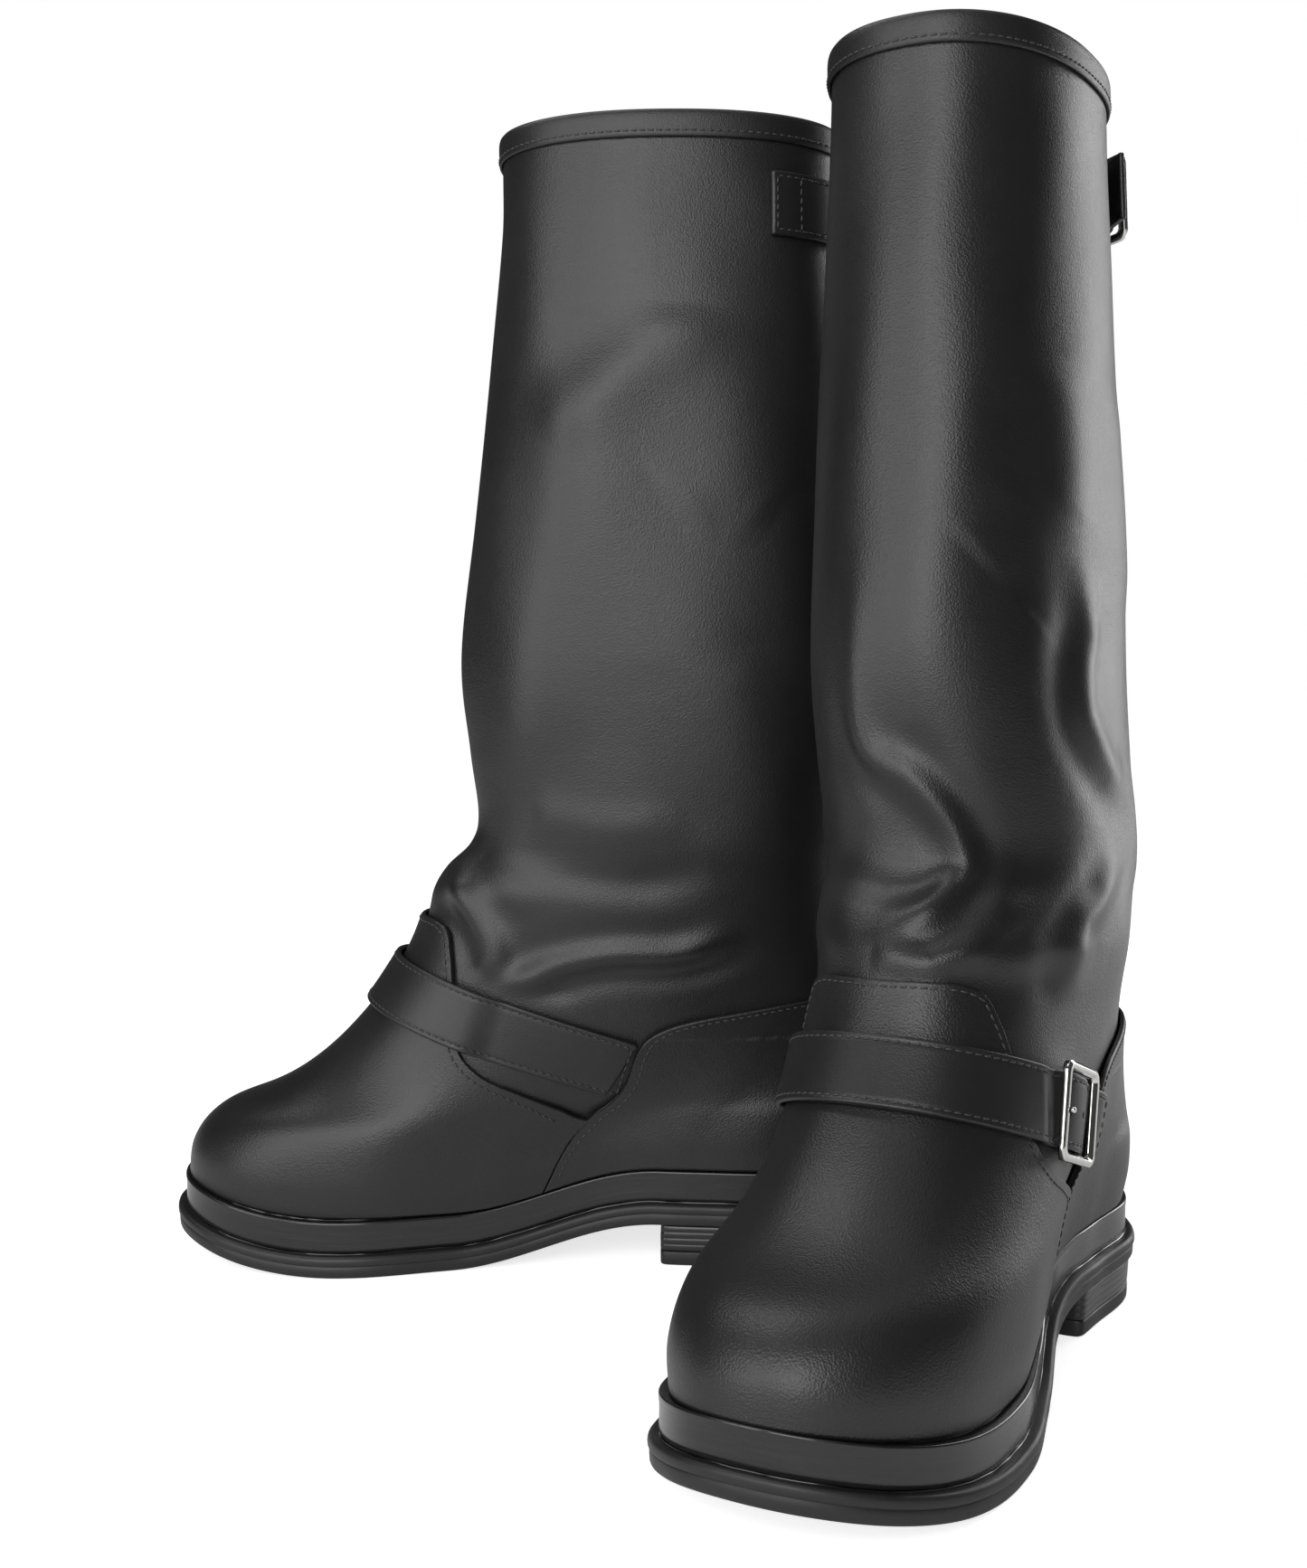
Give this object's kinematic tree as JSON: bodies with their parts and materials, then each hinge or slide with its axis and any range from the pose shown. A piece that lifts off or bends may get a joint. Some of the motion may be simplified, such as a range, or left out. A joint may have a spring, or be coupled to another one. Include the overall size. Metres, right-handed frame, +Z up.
{
  "type": "riding boots",
  "caption": "Pair of tall leather motorcycle riding boots with a buckled strap over the instep and one at the top of each shaft, a welted sole and a block heel.",
  "frame": {"origin": "centre of the pair's bounding box in X and Y, on the plane that the soles and heels stand on", "axes": "+Z up; the left boot points its toe towards -Y and a little towards -X, the right boot points its toe along -X"},
  "size_m": [0.3706, 0.3242, 0.4359],
  "materials": {
    "upper_leather": "satin",
    "strap_leather": "satin",
    "binding_leather": "satin",
    "lining_leather": "matte",
    "insole_leather": "matte",
    "midsole_leather": "gloss",
    "heel_stack": "gloss",
    "outsole_rubber": "satin",
    "stiffener_board": "matte",
    "cork": "matte",
    "shank_steel": "satin",
    "buckle_metal": "polished"
  },
  "bodies": {
    "left_boot": {"left_outsole": "outsole_rubber", "left_midsole": "midsole_leather", "left_heel_block": "heel_stack", "left_heel_top_lift": "outsole_rubber", "left_cork_filler": "cork", "left_shank": "shank_steel", "left_insole_board": "insole_leather", "left_sock_liner": "lining_leather", "left_shaft": "upper_leather", "left_shaft_lining": "lining_leather", "left_vamp": "upper_leather", "left_heel_counter": "upper_leather", "left_top_binding": "binding_leather", "left_toe_puff": "stiffener_board", "left_heel_stiffener": "stiffener_board", "left_ankle_strap": "strap_leather", "left_ankle_keeper": "strap_leather", "left_ankle_buckle_tab": "strap_leather", "left_top_strap": "strap_leather", "left_top_buckle_tab": "strap_leather"},
    "left_ankle_buckle": {"left_ankle_buckle_frame": "buckle_metal"},
    "left_ankle_prong": {"left_ankle_buckle_prong": "buckle_metal"},
    "left_ankle_strap_end": {"left_ankle_strap_tail": "strap_leather"},
    "left_top_buckle": {"left_top_buckle_frame": "buckle_metal"},
    "left_top_prong": {"left_top_buckle_prong": "buckle_metal"},
    "left_top_strap_end": {"left_top_strap_tail": "strap_leather"},
    "right_boot": {"right_outsole": "outsole_rubber", "right_midsole": "midsole_leather", "right_heel_block": "heel_stack", "right_heel_top_lift": "outsole_rubber", "right_cork_filler": "cork", "right_shank": "shank_steel", "right_insole_board": "insole_leather", "right_sock_liner": "lining_leather", "right_shaft": "upper_leather", "right_shaft_lining": "lining_leather", "right_vamp": "upper_leather", "right_heel_counter": "upper_leather", "right_top_binding": "binding_leather", "right_toe_puff": "stiffener_board", "right_heel_stiffener": "stiffener_board", "right_ankle_strap": "strap_leather", "right_ankle_keeper": "strap_leather", "right_ankle_buckle_tab": "strap_leather", "right_top_strap": "strap_leather", "right_top_buckle_tab": "strap_leather"},
    "right_ankle_buckle": {"right_ankle_buckle_frame": "buckle_metal"},
    "right_ankle_prong": {"right_ankle_buckle_prong": "buckle_metal"},
    "right_ankle_strap_end": {"right_ankle_strap_tail": "strap_leather"},
    "right_top_buckle": {"right_top_buckle_frame": "buckle_metal"},
    "right_top_prong": {"right_top_buckle_prong": "buckle_metal"},
    "right_top_strap_end": {"right_top_strap_tail": "strap_leather"}
  },
  "joints": [
    {"name": "right_boot_lift", "type": "slide", "parent": "left_boot", "child": "right_boot", "axis": [0, 0, 1], "range_m": [0, 0.1]},
    {"name": "left_ankle_buckle_play", "type": "hinge", "parent": "left_boot", "child": "left_ankle_buckle", "pos_m": [0.13631, -0.05463, 0.0901], "axis": [0.1315, 0.2765, 0.952], "range_deg": [-1.5, 2]},
    {"name": "left_ankle_prong_play", "type": "hinge", "parent": "left_ankle_buckle", "child": "left_ankle_prong", "pos_m": [0.13631, -0.05463, 0.0901], "axis": [0.1315, 0.2765, 0.952], "range_deg": [0, 4]},
    {"name": "left_ankle_strap_end_bend", "type": "hinge", "parent": "left_boot", "child": "left_ankle_strap_end", "pos_m": [0.15018, -0.03025, 0.08081], "axis": [-0.2049, -0.2403, -0.9488], "range_deg": [0, 60], "stiffness_Nm_per_rad": 0.004},
    {"name": "left_top_buckle_play", "type": "hinge", "parent": "left_boot", "child": "left_top_buckle", "pos_m": [0.16879, 0.06123, 0.40264], "axis": [0.0474, 0.0169, -0.9987], "range_deg": [-1.5, 2]},
    {"name": "left_top_prong_play", "type": "hinge", "parent": "left_top_buckle", "child": "left_top_prong", "pos_m": [0.16879, 0.06123, 0.40264], "axis": [0.0474, 0.0169, -0.9987], "range_deg": [0, 4]},
    {"name": "left_top_strap_end_bend", "type": "hinge", "parent": "left_boot", "child": "left_top_strap_end", "pos_m": [0.17354, 0.04981, 0.40274], "axis": [-0.0474, -0.0042, 0.9989], "range_deg": [0, 25], "stiffness_Nm_per_rad": 0.004},
    {"name": "right_ankle_buckle_play", "type": "hinge", "parent": "right_boot", "child": "right_ankle_buckle", "pos_m": [-0.04231, 0.15128, 0.0901], "axis": [-0.3049, 0.0281, -0.952], "range_deg": [-1.5, 2]},
    {"name": "right_ankle_prong_play", "type": "hinge", "parent": "right_ankle_buckle", "child": "right_ankle_prong", "pos_m": [-0.04231, 0.15128, 0.0901], "axis": [-0.3049, 0.0281, -0.952], "range_deg": [0, 4]},
    {"name": "right_ankle_strap_end_bend", "type": "hinge", "parent": "right_boot", "child": "right_ankle_strap_end", "pos_m": [-0.01426, 0.15076, 0.08081], "axis": [0.3112, 0.0535, 0.9488], "range_deg": [0, 60], "stiffness_Nm_per_rad": 0.004},
    {"name": "right_top_buckle_play", "type": "hinge", "parent": "right_boot", "child": "right_top_buckle", "pos_m": [0.07389, 0.12005, 0.40264], "axis": [-0.0387, -0.0322, 0.9987], "range_deg": [-1.5, 2]},
    {"name": "right_top_prong_play", "type": "hinge", "parent": "right_top_buckle", "child": "right_top_prong", "pos_m": [0.07389, 0.12005, 0.40264], "axis": [-0.0387, -0.0322, 0.9987], "range_deg": [0, 4]},
    {"name": "right_top_strap_end_bend", "type": "hinge", "parent": "right_boot", "child": "right_top_strap_end", "pos_m": [0.0665, 0.12997, 0.40274], "axis": [0.0278, 0.0386, -0.9989], "range_deg": [0, 25], "stiffness_Nm_per_rad": 0.004}
  ]
}
